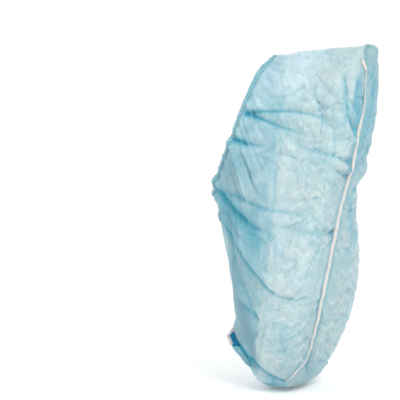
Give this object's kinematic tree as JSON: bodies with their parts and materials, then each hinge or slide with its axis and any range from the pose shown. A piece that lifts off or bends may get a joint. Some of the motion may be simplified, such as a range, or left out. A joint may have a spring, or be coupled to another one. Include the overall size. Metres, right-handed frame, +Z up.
{
  "type": "anti-slip shoe cover",
  "caption": "Disposable nonwoven shoe cover in its worn form, with a gathered elastic collar, a taped sole seam and zigzag anti-slip ribs across the sole.",
  "frame": {"origin": "centre of the foot opening, inside the elastic collar", "axes": "+Z up, from the toe towards the raised heel; +X from the opening towards the sole; +Y across the foot"},
  "size_m": [0.1606, 0.1286, 0.3229],
  "materials": {
    "cloth": "matte",
    "elastic": "matte",
    "tape": "matte",
    "tread": "satin"
  },
  "bodies": {
    "root": {"body": "cloth", "collar_elastic": "elastic", "sole_seam": "tape", "toe_flap": "cloth", "seam_tail": "tape", "tread_near_01": "tread", "tread_near_02": "tread", "tread_near_03": "tread", "tread_near_04": "tread", "tread_near_05": "tread", "tread_near_06": "tread", "tread_near_07": "tread", "tread_near_08": "tread", "tread_near_09": "tread", "tread_near_10": "tread", "tread_near_11": "tread", "tread_near_12": "tread", "tread_near_13": "tread", "tread_near_14": "tread", "tread_near_15": "tread", "tread_near_16": "tread", "tread_near_17": "tread", "tread_near_18": "tread", "tread_near_19": "tread", "tread_near_20": "tread", "tread_near_21": "tread", "tread_near_22": "tread", "tread_far_01": "tread", "tread_far_02": "tread", "tread_far_03": "tread", "tread_far_04": "tread", "tread_far_05": "tread", "tread_far_06": "tread", "tread_far_07": "tread", "tread_far_08": "tread", "tread_far_09": "tread", "tread_far_10": "tread", "tread_far_11": "tread", "tread_far_12": "tread", "tread_far_13": "tread", "tread_far_14": "tread", "tread_far_15": "tread", "tread_far_16": "tread", "tread_far_17": "tread", "tread_far_18": "tread", "tread_far_19": "tread", "tread_far_20": "tread", "tread_far_21": "tread", "tread_far_22": "tread"}
  },
  "joints": []
}
